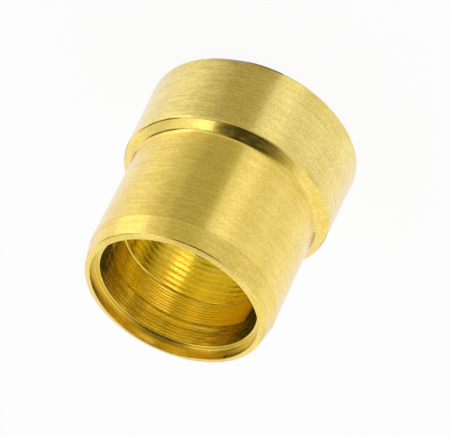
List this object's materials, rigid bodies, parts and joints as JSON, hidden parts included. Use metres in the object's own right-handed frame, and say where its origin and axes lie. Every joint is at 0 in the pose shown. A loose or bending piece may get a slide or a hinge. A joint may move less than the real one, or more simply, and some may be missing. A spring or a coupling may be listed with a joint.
{
  "type": "compression olive",
  "caption": "One-piece turned brass compression olive: a thin conical nose, a straight body and a thicker collar around a stepped bore, for sealing a tube in its fitting.",
  "frame": {"origin": "centre of the flat back face that the ring stands on, on the axis of the bore", "axes": "+Z along the axis of the bore, from the collar up to the nose; X and Y are any two directions across it"},
  "size_m": [0.009, 0.009, 0.0094],
  "materials": {
    "brass": "satin as turned, with fine marks around the axis"
  },
  "bodies": {
    "root": {"compression_olive": "brass"}
  },
  "joints": []
}
